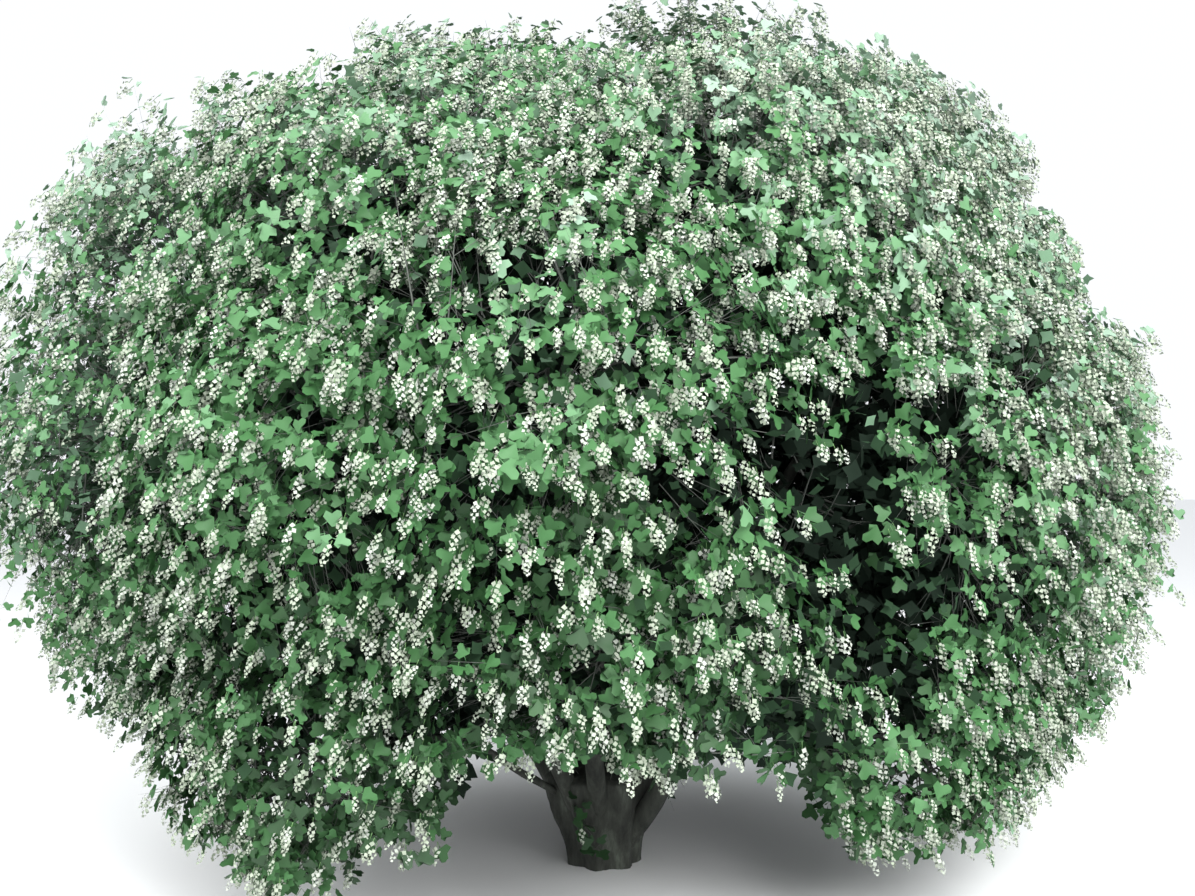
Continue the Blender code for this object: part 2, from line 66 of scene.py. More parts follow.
# Each mass: tier, bearing (0 is the front, 90 is +X), out, up, size, parent, share along the parent
massPlan = {
    "flank_front": ("flank", -7, -0.12, 0.18, 0.98, "trunk", 0),
    "flank_front_left": ("flank", -42, 0.00, 0.00, 0.93, "trunk", 0),
    "flank_front_right": ("flank", 58, -0.10, -0.04, 0.96, "trunk", 0),
    "flank_back": ("flank", 178, 0.00, 0.08, 1.10, "trunk", 0),
    "shoulder_left": ("shoulder", -85, 0.24, -0.04, 1.12, "trunk", 0),
    "shoulder_right": ("shoulder", 88, 0.07, -0.05, 0.88, "trunk", 0),
    "shoulder_back_left": ("shoulder", -145, -0.06, 0.03, 1.06, "trunk", 0),
    "shoulder_back_right": ("shoulder", 142, -0.06, 0.06, 1.06, "trunk", 0),
    "top_left": ("top", -98, -0.07, -0.01, 1.02, "trunk", 0),
    "top_right": ("top", 66, -0.10, 0.00, 1.06, "trunk", 0),
    "skirt_front_left": ("skirt", -51, -0.03, -0.08, 0.92, "trunk", 0),
    "skirt_front": ("skirt", 2, -0.13, 0.26, 1.02, "flank_front", 0.34),
    "skirt_front_right": ("skirt", 57, -0.08, -0.08, 0.90, "flank_front_right", 0.42),
    "skirt_right": ("skirt", 96, 0.23, 0.11, 1.04, "flank_right", 0.30),
    "skirt_back_right": ("skirt", 140, 0.02, 0.02, 1.08, "shoulder_back_right", 0.26),
    "skirt_back": ("skirt", 183, -0.02, 0.14, 1.00, "flank_back", 0.38),
    "skirt_back_left": ("skirt", -137, 0.04, 0.04, 1.08, "shoulder_back_left", 0.26),
    "skirt_left": ("skirt", -89, 0.32, 0.20, 0.90, "flank_left", 0.30),
    "flank_right": ("flank", 90, 0.07, -0.09, 1.14, "shoulder_right", 0.34),
    "flank_back_right": ("flank", 135, 0.02, -0.03, 1.12, "shoulder_back_right", 0.46),
    "flank_back_left": ("flank", -128, 0.05, 0.02, 1.16, "shoulder_back_left", 0.46),
    "flank_left": ("flank", -79, 0.15, 0.02, 1.24, "shoulder_left", 0.34),
    "shoulder_front_left": ("shoulder", -47, -0.11, 0.04, 1.00, "top_left", 0.46),
    "shoulder_front_right": ("shoulder", 36, -0.23, 0.10, 1.02, "top_right", 0.46),
    "top_far_right": ("top", 95, 0.48, -0.03, 0.76, "top_right", 0.62),
}

limbPlan = {
    "bough": {"radius": 0.036, "tipRadius": 0.017, "sway": 0.014},
    "limb": {"radius": 0.021, "tipRadius": 0.013, "sway": 0.012},
    "start": {"ring": 0.085, "height": 0.14, "tilt": 33},    # tilt in degrees from upright
    "starts": {
        "flank_front_right": {"ring": 0.055, "height": 0.055, "tilt": 46, "radius": 0.042},
        "skirt_front_left": {"bearing": -64, "ring": 0.10, "height": 0.205, "tilt": 60, "radius": 0.0135},
        "top_left": {"ring": 0.035, "height": 0.16, "tilt": 6},
        "top_right": {"ring": 0.035, "height": 0.16, "tilt": 6},
    },
    "handles": (0.40, 0.35),     # lengths of the curve's handles, beside its reach
    "taperPower": 0.75,
    "swayTurn": 5.0,             # radians that the sway turns through along the way
    "startShare": 0.80,          # thickest a limb starts, beside what carries it there
    "tipShare": 0.80,
    "steer": 0.9,                # how strongly a limb leaves towards its own mass
    "steps": 26,
    "sides": 14,
    "underBark": 0.97,           # radius before the bark's relief is added
    "relief": 0.0022,
    "ridgeScale": 70,
}

# Neighbours that stand further apart, so that the dark inside shows between them
openCreases = {
    frozenset(("flank_front", "flank_front_right")): 0.10,
    frozenset(("flank_front", "skirt_front")): 0.05,
    frozenset(("flank_front_left", "skirt_front_left")): 0.08,
    frozenset(("flank_left", "skirt_left")): 0.07,
    frozenset(("skirt_front", "skirt_front_right")): 0.07,
    frozenset(("skirt_front", "flank_front_right")): 0.08,
}

# Long shoots that make the outline's tips: bearing, degrees above level, reach beside the mass's own
longShoots = {
    "shoulder_left": ((-100, 40, 1.12), (-60, 76, 1.10)),
    "shoulder_front_left": ((-105, 48, 1.16),),
    "top_left": ((-90, 58, 1.14), (-40, 34, 1.16), (96, 66, 1.02)),
    "top_right": ((-74, 62, 1.02), (-60, 82, 1.08), (100, 66, 1.08)),
    "top_far_right": ((98, 38, 1.26),),
    "shoulder_right": ((84, 12, 1.04),),
    "flank_right": ((92, 36, 1.10), (80, -6, 1.06)),
    "flank_left": ((-80, 2, 1.06), (-70, 20, 1.04), (-88, -16, 1.05)),
    "skirt_left": ((-84, -38, 1.10), (-84, 12, 1.12)),
    "skirt_front_left": ((-100, -20, 1.10), (-20, -64, 1.06)),
    "skirt_right": ((92, -12, 1.08),),
    "skirt_front": ((40, -62, 1.14),),
}

# Spaces with no leaves, where the photo shows the trunk, the boughs or open ground: middle, half sizes
openings = {
    "around_trunk": ((0.00, 0.05, 0.05), (0.62, 0.70, 0.45)),
    "front_arch_left": ((-0.14, -1.30, 0.18), (0.30, 0.95, 0.46)),
    "front_arch_right": ((0.38, -1.30, 0.14), (0.25, 0.95, 0.41)),
    "beside_arch": ((-0.60, -1.15, 0.20), (0.11, 0.45, 0.19)),
    "low_left": ((-2.00, -0.10, 0.42), (0.42, 1.00, 0.33)),
    "low_left_front": ((-1.09, -0.80, 0.17), (0.13, 0.30, 0.13)),
    "low_notch_near": ((-1.14, -0.75, 0.50), (0.07, 0.22, 0.12)),
    "low_notch": ((-1.27, -0.35, 0.40), (0.07, 0.22, 0.12)),
    "low_notch_far": ((-1.41, 0.10, 0.29), (0.07, 0.27, 0.13)),
    "low_right": ((2.00, 0.00, 0.45), (0.38, 1.20, 0.30)),
    "left_notch_near": ((-1.27, -0.42, 2.56), (0.085, 0.27, 0.34)),
    "left_notch": ((-1.40, 0.00, 2.58), (0.085, 0.27, 0.34)),
    "left_notch_far": ((-1.53, 0.42, 2.60), (0.085, 0.27, 0.34)),
    "upper_left": ((-1.62, -0.10, 2.86), (0.32, 1.20, 0.43)),
    "upper_right": ((1.96, 0.00, 2.30), (0.45, 1.30, 0.50)),
    "right_notch": ((1.76, -0.45, 1.88), (0.34, 0.80, 0.12)),
    "right_front": ((2.07, -0.80, 1.20), (0.42, 0.75, 0.75)),
    "above_front": ((0.15, -1.30, 2.98), (0.95, 1.20, 0.45)),
}

up = np.array((0.0, 0.0, 1.0))
crownMiddle = np.array(plan["crownMiddle"])
goldenAngle = math.pi * (3 - math.sqrt(5))


def draws(stream, number=0):
    # random numbers from the seed and the stream's own number
    return np.random.default_rng([plan["seed"], plan["streams"][stream] + number])


def rising(values, start, length):
    # 0 up to the start, then evenly up to 1 over the length
    return np.clip((values - start) / length, 0, 1)


def unit(vectors):
    # each vector divided by its length
    return vectors / np.maximum(np.linalg.norm(vectors, axis=-1, keepdims=True), 1e-9)


def bearingDirection(bearing, elevation=0.0):
    # sine and cosine of the bearing in the level plane, tilted up by the elevation
    turn, rise = math.radians(bearing), math.radians(elevation)
    return np.array((math.sin(turn) * math.cos(rise), -math.cos(turn) * math.cos(rise), math.sin(rise)))


def squareFrame(direction):
    # two vectors square to each direction: one is level, the other their cross product
    helper = np.where(np.abs(direction[..., 2:3]) < 0.9, up, np.array((1.0, 0.0, 0.0)))
    side = unit(np.cross(helper, direction))
    return side, np.cross(direction, side)


def around(turn, side, across):
    # the cosine of the turn along the one vector, plus its sine along the other
    return np.cos(turn)[..., None] * side + np.sin(turn)[..., None] * across


def crownDepth(points):
    # 0 at the crown's middle and 1 on the ellipsoid that holds it
    return np.linalg.norm((points - crownMiddle) / plan["crownHalf"], axis=-1)


def inOpening(points):
    # true within any opening, each a box with rounded corners: the sum of the fourth powers is under 1
    inside = np.zeros(points.shape[:-1], bool)
    for middle, half in openings.values():
        inside |= (((points - middle) / half)**4).sum(axis=-1) < 1
    return inside


class Mass:
    # the space of one mass of foliage: an ellipsoid, and planes towards its neighbours and the ground
    def __init__(self, name):
        # the tier sets ring, height and facing; the limb's tip lies back from the middle along its way in
        tierName, bearing, out, rise, size = massPlan[name][:5]
        tier = tiers[tierName]
        self.name = name
        self.middle = bearingDirection(bearing) * (tier["ring"] + out) + up * (tier["height"] + rise)
        outward = bearingDirection(bearing, tier["facing"])
        self.axes = np.array((outward, *squareFrame(outward)))
        self.half = np.array(tier["half"]) * size
        self.outward = unit(self.middle - crownMiddle)
        self.entryDirection = bearingDirection(bearing, tier["entry"])
        self.tip = self.middle - self.entryDirection * self.reach(self.entryDirection) * plan["entryShare"]

    def reach(self, direction):
        # from the middle to the ellipsoid: one over the length of direction / half sizes
        return 1 / np.linalg.norm(direction @ self.axes.T / self.half, axis=-1)

    def support(self, direction):
        # how far the ellipsoid's shadow goes along a direction
        return np.linalg.norm(self.axes @ direction * self.half)

    def stayClear(self, masses):
        # each plane stands between two middles, shared out by how far each ellipsoid goes towards it
        normals, offsets, closed = [-up], [self.middle[2] - plan["groundClearance"]], [False]
        for other in masses.values():
            if other is not self:
                apart = other.middle - self.middle
                distance = np.linalg.norm(apart)
                normal = apart / distance
                share = self.support(normal) / (self.support(normal) + other.support(normal))
                gap = openCreases.get(frozenset((self.name, other.name)), plan["massGap"])
                normals.append(normal)
                offsets.append(distance * share - gap / 2)
                closed.append(gap == plan["massGap"])
        self.normals, self.offsets, self.closed = np.array(normals), np.array(offsets), np.array(closed)

    def planeReach(self, directions, chosen=slice(None)):
        # the shortest way to any chosen plane: its offset over the cosine to its normal
        lean = directions @ self.normals[chosen].T
        return np.where(lean > 1e-6, self.offsets[chosen] / np.maximum(lean, 1e-6), np.inf).min(axis=-1)

    def filledReach(self, directions, shares):
        # shares of the ellipsoid's reach, but further where a close neighbour's plane lies just beyond,
        # times its tier's own factor, and never past a plane
        own = self.reach(directions)
        beside = self.planeReach(directions, self.closed) < own * growth["neighbourLimit"]
        stretched = own * shares * np.where(beside, growth["neighbourStretch"], 1.0)
        stretched = stretched * growth["tierReach"][massPlan[self.name][0]]
        return np.minimum(stretched, self.planeReach(directions) * growth["planeShare"])


def limbPath(start, startDirection, tip, tipDirection, sway, chance):
    # a cubic curve with a handle at each end, plus a sway that turns slowly about its run
    reach = np.linalg.norm(tip - start)
    first = start + startDirection * reach * limbPlan["handles"][0]
    last = tip - tipDirection * reach * limbPlan["handles"][1]
    side, across = squareFrame(unit(tip - start))
    phase = chance.uniform(0, 2 * math.pi)
    t = np.linspace(0, 1, limbPlan["steps"] + 1)[:, None]
    path = (1 - t)**3 * start + 3 * (1 - t)**2 * t * first + 3 * (1 - t) * t**2 * last + t**3 * tip
    bend = sway * reach * np.sin(math.pi * t)**2
    return path + bend * around(phase + limbPlan["swayTurn"] * t[:, 0], side, across)


def growLimbs(masses):
    # boughs start on the trunk, limbs on another limb's path, and the radius falls as t to a power
    limbs = {}
    waiting = list(massPlan)
    while waiting:
        name = waiting.pop(0)
        parent, share = massPlan[name][5:]
        mass = masses[name]
        if parent != "trunk" and parent not in limbs:
            waiting.append(name)
            continue
        chance = draws("limbs", len(limbs))
        if parent == "trunk":
            begin = {**limbPlan["start"], **limbPlan["starts"].get(name, {})}
            sizes = {**limbPlan["bough"], "radius": begin.get("radius", limbPlan["bough"]["radius"])}
            sizes["tipRadius"] = min(sizes["tipRadius"], limbPlan["tipShare"] * sizes["radius"])
            bearing = begin.get("bearing", massPlan[name][1])
            start = bearingDirection(bearing) * begin["ring"] + up * begin["height"]
            direction = bearingDirection(bearing, 90 - begin["tilt"])
        else:
            path, radii = limbs[parent]
            place = int(round(share * limbPlan["steps"]))
            start = path[place]
            sizes = dict(limbPlan["limb"])
            sizes["radius"] = min(sizes["radius"], limbPlan["startShare"] * radii[place])
            along = unit(path[place + 1] - path[place])
            direction = unit(along + limbPlan["steer"] * unit(mass.tip - start))
        path = limbPath(start, direction, mass.tip, mass.entryDirection, sizes["sway"], chance)
        t = np.linspace(0, 1, limbPlan["steps"] + 1)
        radii = sizes["radius"] + (sizes["tipRadius"] - sizes["radius"]) * t**limbPlan["taperPower"]
        limbs[name] = (path, radii)
    return limbs


masses = {name: Mass(name) for name in massPlan}
for mass in masses.values():
    mass.stayClear(masses)
limbs = growLimbs(masses)
print("plan of", len(masses), "masses ready")


# Meshes and finishes

def addObject(name, data):
    # stands at the origin, in the scene
    thing = bpy.data.objects.new(name, data)
    bpy.context.scene.collection.objects.link(thing)
    return thing


def makePiece(name, points, faces, finishes, shades=None):
    # one object from arrays of points and of faces with equal numbers of corners
    mesh = bpy.data.meshes.new(name)
    mesh.vertices.add(len(points))
    mesh.vertices.foreach_set("co", points.astype(np.float32).ravel())
    mesh.loops.add(faces.size)
    mesh.loops.foreach_set("vertex_index", faces.astype(np.int32).ravel())
    mesh.polygons.add(len(faces))
    mesh.polygons.foreach_set("loop_start", np.arange(0, faces.size, faces.shape[1], dtype=np.int32))
    mesh.update(calc_edges=True)
    for finish in finishes:
        mesh.materials.append(finish)
    if shades is not None:
        mesh.polygons.foreach_set("material_index", shades.astype(np.int32))
    mesh.validate()
    piece = addObject(name, mesh)
    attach(piece, "root")
    return piece


def setInputs(node, values):
    # each named socket's own value
    for name, value in values.items():
        node.inputs[name].default_value = value


def plainFinish(name, colour, roughness, specular=0.35):
    # one base colour all over, with its roughness and its shine
    finish = bpy.data.materials.new(name)
    finish.use_nodes = True
    setInputs(finish.node_tree.nodes["Principled BSDF"], {
        "Base Color": (*colour, 1.0), "Roughness": roughness, "Specular IOR Level": specular})
    return finish


def shadeFinishes(name, colours, roughness, specular):
    # a numbered finish for each colour, to be dealt out among the faces
    return [plainFinish(f"{name}_{number}", colour, roughness, specular)
            for number, colour in enumerate(colours)]


barkLook = {
    "furrow": (0.010, 0.012, 0.009),
    "bark": (0.040, 0.044, 0.036),
    "lichen": (0.105, 0.125, 0.098),
    "stops": (0.34, 0.56, 0.76),
    "scale": 24,
    "stretch": (1.0, 1.0, 0.28),     # furrows run up and down
    "detail": 9,
    "fineShare": 0.65,
    "bumpDistance": 0.006,
    "bumpStrength": 0.8,
    "roughness": 0.88,
}


def barkFinish():
    # noise stretched along Z goes through three colours, from furrow to lichen, and lifts the surface
    finish = bpy.data.materials.new("grey_bark")
    finish.use_nodes = True
    nodes, links = finish.node_tree.nodes, finish.node_tree.links
    shader = nodes["Principled BSDF"]
    setInputs(shader, {"Roughness": barkLook["roughness"]})
    place = nodes.new("ShaderNodeTexCoord")
    stretch = nodes.new("ShaderNodeMapping")
    setInputs(stretch, {"Scale": barkLook["stretch"]})
    furrows = nodes.new("ShaderNodeTexNoise")
    setInputs(furrows, {"Scale": barkLook["scale"], "Detail": barkLook["detail"],
                        "Roughness": barkLook["fineShare"]})
    ramp = nodes.new("ShaderNodeValToRGB")
    stops = ramp.color_ramp.elements
    stops.new(barkLook["stops"][1])
    for stop, position, colour in zip(stops, barkLook["stops"], ("furrow", "bark", "lichen")):
        stop.position = position
        stop.color = (*barkLook[colour], 1)
    bump = nodes.new("ShaderNodeBump")
    setInputs(bump, {"Distance": barkLook["bumpDistance"], "Strength": barkLook["bumpStrength"]})
    links.new(place.outputs["Object"], stretch.inputs["Vector"])
    links.new(stretch.outputs["Vector"], furrows.inputs["Vector"])
    links.new(furrows.outputs["Fac"], ramp.inputs["Fac"])
    links.new(ramp.outputs["Color"], shader.inputs["Base Color"])
    links.new(furrows.outputs["Fac"], bump.inputs["Height"])
    links.new(bump.outputs["Normal"], shader.inputs["Normal"])
    return finish


# Trunk and limbs with the bark's relief

trunkShape = {
    "footRadius": 0.117,
    "forkRadius": 0.172,
    "height": 0.285,             # of the fork
    "crownRise": 0.045,          # the top between the boughs is a dome this high
    "flutes": 7,
    "fluteDepth": 0.085,         # share of the radius
    "twist": 1.2,                # radians that the flutes turn through up to the fork
    "lean": -0.07,               # towards -X, for each metre up
    "relief": 0.0045,
    "ridgeScale": 60,
    "around": 168,
    "rings": 60,
    "domeRings": 16,
    "poleRadius": 0.0005,
    "edgeAngle": 50,             # degrees past which an edge is shaded sharp
}


def ridges(points, scale, depth):
    # long furrows: sines of the place across, that waver slowly along the height
    x, y, z = (points * scale).T
    wave = np.sin(2.3 * x + 1.7 * np.sin(0.9 * y + 0.21 * z))
    wave = wave + np.sin(2.9 * y + 1.3 * np.sin(1.1 * x - 0.3 * z))
    fine = np.sin(6.1 * x + 0.9 * z + 2 * np.sin(5.3 * y)) * np.sin(5.7 * y - 0.7 * z)
    return depth * (0.35 * wave + 0.3 * fine)


def gridFaces(rows, columns, offset=0):
    # quads between the rings of a grid whose columns close on themselves
    row, column = np.meshgrid(np.arange(rows - 1), np.arange(columns), indexing="ij")
    after = (column + 1) % columns
    low, high = row * columns, (row + 1) * columns
    return offset + np.stack((low + column, low + after, high + after, high + column), -1).reshape(-1, 4)


def trunkSurface():
    # the radius eases from foot to fork and swells once for each flute; a dome and a flat cut close it
    shape = trunkShape
    rise = np.linspace(0, 1, shape["rings"])
    stem = shape["footRadius"] + (shape["forkRadius"] - shape["footRadius"]) * rise**2 * (3 - 2 * rise)
    turn = np.linspace(0, math.pi / 2, shape["domeRings"] + 1)[1:]
    dome = np.maximum(shape["forkRadius"] * np.cos(turn), shape["poleRadius"])
    radius = np.hstack((shape["poleRadius"], stem, dome))[:, None]
    domeHeight = shape["height"] + shape["crownRise"] * np.sin(turn)
    height = np.hstack((0, rise * shape["height"], domeHeight))[:, None]
    angle = np.linspace(0, 2 * math.pi, shape["around"], endpoint=False)
    flute = shape["flutes"] * angle + shape["twist"] * height / shape["height"]
    out = radius * (1 + shape["fluteDepth"] * np.cos(flute))
    points = np.stack((shape["lean"] * height + out * np.cos(angle), out * np.sin(angle),
                       height + 0 * angle), -1).reshape(-1, 3)
    push = ridges(points, shape["ridgeScale"], shape["relief"])
    push = push * np.repeat(radius / shape["forkRadius"], shape["around"])
    return points + unit(points * (1, 1, 0)) * push[:, None], gridFaces(len(radius), shape["around"])


def limbSurface(path, radii):
    # a circle carried along the path, with furrows pressed into it, and a point to close each end
    along = unit(np.gradient(path, axis=0))
    level = unit(np.cross(up, path[-1] - path[0]))
    side = unit(np.cross(level, along))
    across = np.cross(along, side)
    angle = np.linspace(0, 2 * math.pi, limbPlan["sides"], endpoint=False)
    out = around(angle, side[:, None], across[:, None])
    place = np.hstack((0, np.arange(len(path)), len(path) - 1))
    radius = np.hstack((trunkShape["poleRadius"], radii * limbPlan["underBark"], trunkShape["poleRadius"]))
    points = (path[place, None] + out[place] * radius[:, None, None]).reshape(-1, 3)
    push = ridges(points, limbPlan["ridgeScale"], limbPlan["relief"])
    push = push * np.repeat(radius / radius.max(), limbPlan["sides"])
    return points + out[place].reshape(-1, 3) * push[:, None], gridFaces(len(place), limbPlan["sides"])


def buildBark():
    # every surface in one mesh, each one's faces numbered on from the last
    points, faces = trunkSurface()
    for path, radii in limbs.values():
        limbPoints, limbFaces = limbSurface(path, radii)
        faces = np.vstack((faces, limbFaces + len(points)))
        points = np.vstack((points, limbPoints))
    piece = makePiece("bark_of_trunk_and_limbs", points, faces, [barkFinish()])
    piece.data.shade_smooth()
    piece.data.set_sharp_from_angle(angle=math.radians(trunkShape["edgeAngle"]))
    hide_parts(*[name for name in nodeNames if not name.startswith("foliage_")])


buildBark()
print("bark ready")


# Growth: the stem of each mass branches into twigs, those into branchlets, and those into shoots

growth = {
    "stemEnd": 0.15,             # how far the stem runs past the mass's middle, beside its reach
    "headings": 32,              # twigs, spread evenly round a mass
    "denser": {"flank_left": 1.7, "shoulder_left": 1.45},    # times as many there
    "hiddenTwig": 0.70,          # none where its leaves would lie deeper in the crown than this
    "twigFork": (0.55, 1.0),     # where along its parent a twig starts
    "twigShare": (0.45, 0.62),   # how far out it goes, beside the mass's reach
    "fork": (0.45, 1.0),
    "branchlets": {"count": 6, "spread": 0.42, "share": (0.60, 0.76), "vary": 0.03},
    "shoots": {"count": 5, "spread": 0.19, "share": (0.61, 0.93), "vary": 0.035},
    "bareLow": 0.34,             # share of the branchlets with no shoots at the bottom of the crown
    "bareHeight": 1.7,           # and the height from which all have them
    "farShoots": 0.10,           # share of the shoots that stand out from the rest
    "farShare": (0.90, 1.0),
    "longest": 0.50,             # no branchlet or shoot is longer
    "tierReach": {"skirt": 0.96, "flank": 0.985, "shoulder": 1.045, "top": 1.04},
    "neighbourLimit": 1.35,
    "neighbourStretch": 1.18,
    "planeShare": 0.98,
    "lowest": 0.20,              # no shoot ends lower than this
    "cutBack": (1.0, 0.86, 0.72, 0.58, 0.44),    # lengths tried where an end lies in an opening
    "radii": {"stem": 0.013, "twig": 0.0070, "branchlet": 0.0034, "shoot": 0.0013, "spray": 0.0026},
    "sag": 0.06,
    "arching": 4,                # long bare branches that lie along the outside of each mass
    "archRadius": 0.0050,
    "archRise": 0.85,
    "archScatter": (0.8, 0.35),  # of their first ends, and of their last beside those
    "archShares": (0.58, 0.98),
    "gapTries": 16000,           # shoots tried in the grooves between masses
    "gapDepth": (0.80, 0.90),
    "gapNearest": (0.88, 1.12),
    "gapSecond": 1.30,
    "gapLength": 0.38,
    "gapScatter": 0.03,
    "gapOpened": 0.45,           # share of them kept beside an open crease
    "longShoots": 5,             # shoots in each sheaf of long ones
    "longSpread": 0.10,
    "longStart": 0.6,
    "longStep": 0.035,
    "longLeafy": (1.0, 0.78, 0.56),    # leaves also stand about these shares of a long shoot
    "limbSprays": 22,            # shoots that leave each limb inside the crown
    "limbFrom": 0.4,             # share of the limb before the first
    "limbReach": (0.10, 0.34),
    "limbRise": 0.3,             # how much more of them rise than hang
    "rings": (0, 0.35, 0.7),     # shares of a stick's length with a ring of points
    "trunkShootRing": 0.8,       # where the trunk's own shoots start, beside its radius
    "trunkShootDepth": 0.92,     # and the crown's depth given them, which sets their painted light and shade
}

# Bare grey branches in the dark gap right of the middle: the limb that bears them, and their ends
openBranches = {
    "from": "flank_front_right",
    "along": 0.80,               # share of the limb where they leave it
    "ends": (
        (0.44, -1.02, 1.50), (0.66, -1.06, 1.40), (0.54, -0.98, 1.33), (0.30, -0.98, 1.66),
        (0.60, -1.04, 1.56), (0.50, -1.00, 1.10), (0.36, -0.96, 1.24),
    ),
    "radius": 0.0060,
    "forks": 3,                  # thinner ones that leave each, from this share of its length
    "forkFrom": (0.50, 0.80),
    "forkLength": 0.20,
    "forkScatter": 0.5,
    "forkRadius": 0.0036,
}

# A few leafy shoots low on the trunk: bearing, height on the trunk, degrees above level, length
trunkShoots = (
    (-14, 0.09, 30, 0.22), (-6, 0.08, 12, 0.17), (-22, 0.10, 48, 0.20),
    (8, 0.26, 38, 0.30), (-34, 0.27, 42, 0.30), (-12, 0.30, 55, 0.34),
    (34, 0.24, 50, 0.22), (150, 0.14, 35, 0.16), (-150, 0.25, 45, 0.24),
)


def evenDirections(count, turn):
    # directions spread over a sphere by the golden angle
    index = np.arange(count)
    height = 1 - 2 * (index + 0.5) / count
    ring = np.sqrt(1 - height**2)
    angle = goldenAngle * index + turn
    return np.stack((ring * np.cos(angle), ring * np.sin(angle), height), -1)


def clearEnds(start, end):
    # each end is drawn back in steps along its run until it is clear; also says which have such an end
    ends = start[:, None] + (end - start)[:, None] * np.array(growth["cutBack"])[:, None]
    clear = ~inOpening(ends) & (ends[..., 2] > growth["lowest"])
    return ends[np.arange(len(start)), clear.argmax(axis=1)], clear.any(axis=1)


def branch(mass, start, end, level, chance):
    # new ends lie out from the mass's middle in directions scattered about their parent's end
    parent = np.repeat(np.arange(len(end)), level["count"])
    heading = unit(unit(end[parent] - mass.middle) + level["spread"] * chance.normal(size=(len(parent), 3)))
    fork = chance.uniform(*growth["fork"], (len(parent), 1))
    newStart = start[parent] + (end[parent] - start[parent]) * fork
    share = chance.uniform(*level["share"], len(end))[parent]
    share = share + level["vary"] * chance.uniform(-1, 1, len(parent))
    if level is growth["shoots"]:
        far = chance.uniform(size=len(parent)) < growth["farShoots"]
        share = np.where(far, chance.uniform(*growth["farShare"], len(parent)), share)
    newEnd = mass.middle + heading * mass.filledReach(heading, share)[:, None]
    newEnd, clear = clearEnds(newStart, newEnd)
    keep = clear & (np.linalg.norm(newEnd - newStart, axis=1) < growth["longest"])
    return newStart[keep], newEnd[keep], parent[keep]


def longShootsOf(mass, chance):
    # sheaves of shoots about each named direction, each shoot a little shorter than the one before
    start, end = [np.empty((0, 3))], [np.empty((0, 3))]
    for bearing, elevation, reach in longShoots.get(mass.name, ()):
        step = np.arange(growth["longShoots"])[:, None]
        scatter = growth["longSpread"] * chance.normal(size=(len(step), 3)) * (step > 0)
        heading = unit(bearingDirection(bearing, elevation) + scatter)
        own = mass.reach(heading)[:, None]
        foot = mass.middle + heading * growth["longStart"] * own
        tip = mass.middle + heading * own * (reach - growth["longStep"] * step)
        for share in growth["longLeafy"]:
            start.append(foot)
            end.append(foot + (tip - foot) * share)
    return np.vstack(start), np.vstack(end)


def archingBranches(mass, chance):
    # each starts inside and ends near the mass's outside, further up, so it lies along the leaves
    count = growth["arching"]
    lowScatter, highScatter = growth["archScatter"]
    low = unit(mass.outward + lowScatter * chance.normal(size=(count, 3)))
    high = unit(low + growth["archRise"] * up + highScatter * chance.normal(size=low.shape))
    first, last = growth["archShares"]
    return (mass.middle + low * (first * mass.filledReach(low, np.ones(count)))[:, None],
            mass.middle + high * (last * mass.filledReach(high, np.ones(count)))[:, None])


def openSticks(chance):
    # each branch runs straight to its end, and its forks on at a scattered angle
    look = openBranches
    end = np.array(look["ends"])
    start = np.repeat(limbs[look["from"]][0][None, int(look["along"] * limbPlan["steps"])], len(end), 0)
    run = np.repeat(end - start, look["forks"], 0)
    fork = np.repeat(start, look["forks"], 0) + run * chance.uniform(*look["forkFrom"], (len(run), 1))
    heading = unit(unit(run) + look["forkScatter"] * chance.normal(size=run.shape))
    return [(start, end, look["radius"]), (fork, fork + look["forkLength"] * heading, look["forkRadius"])]


def gapShoots(masses, chance):
    # places near the crown's round that lie outside every mass's own, but close to two neighbours
    names = list(masses)
    heading = unit(chance.normal(size=(growth["gapTries"], 3)))
    depth = chance.uniform(*growth["gapDepth"], (growth["gapTries"], 1))
    end = crownMiddle + heading * depth * plan["crownHalf"]
    away = np.stack([np.linalg.norm((end - mass.middle) @ mass.axes.T / mass.half, axis=1)
                     for mass in masses.values()], 1)
    order = np.argsort(away, axis=1)[:, :2]
    nearest, second = np.take_along_axis(away, order, 1).T
    low, high = growth["gapNearest"]
    opened = np.array([[frozenset((one, other)) in openCreases for other in names] for one in names])
    thinned = opened[order[:, 0], order[:, 1]] & (chance.uniform(size=len(end)) > growth["gapOpened"])
    keep = (nearest > low) & (nearest < high) & (second < growth["gapSecond"]) & ~thinned
    middles = np.array([mass.middle for mass in masses.values()])
    start = end + growth["gapLength"] * (middles[order[:, 0]] - end)
    start = start + growth["gapScatter"] * chance.normal(size=end.shape)
    return start[keep], end[keep], order[keep, 0]


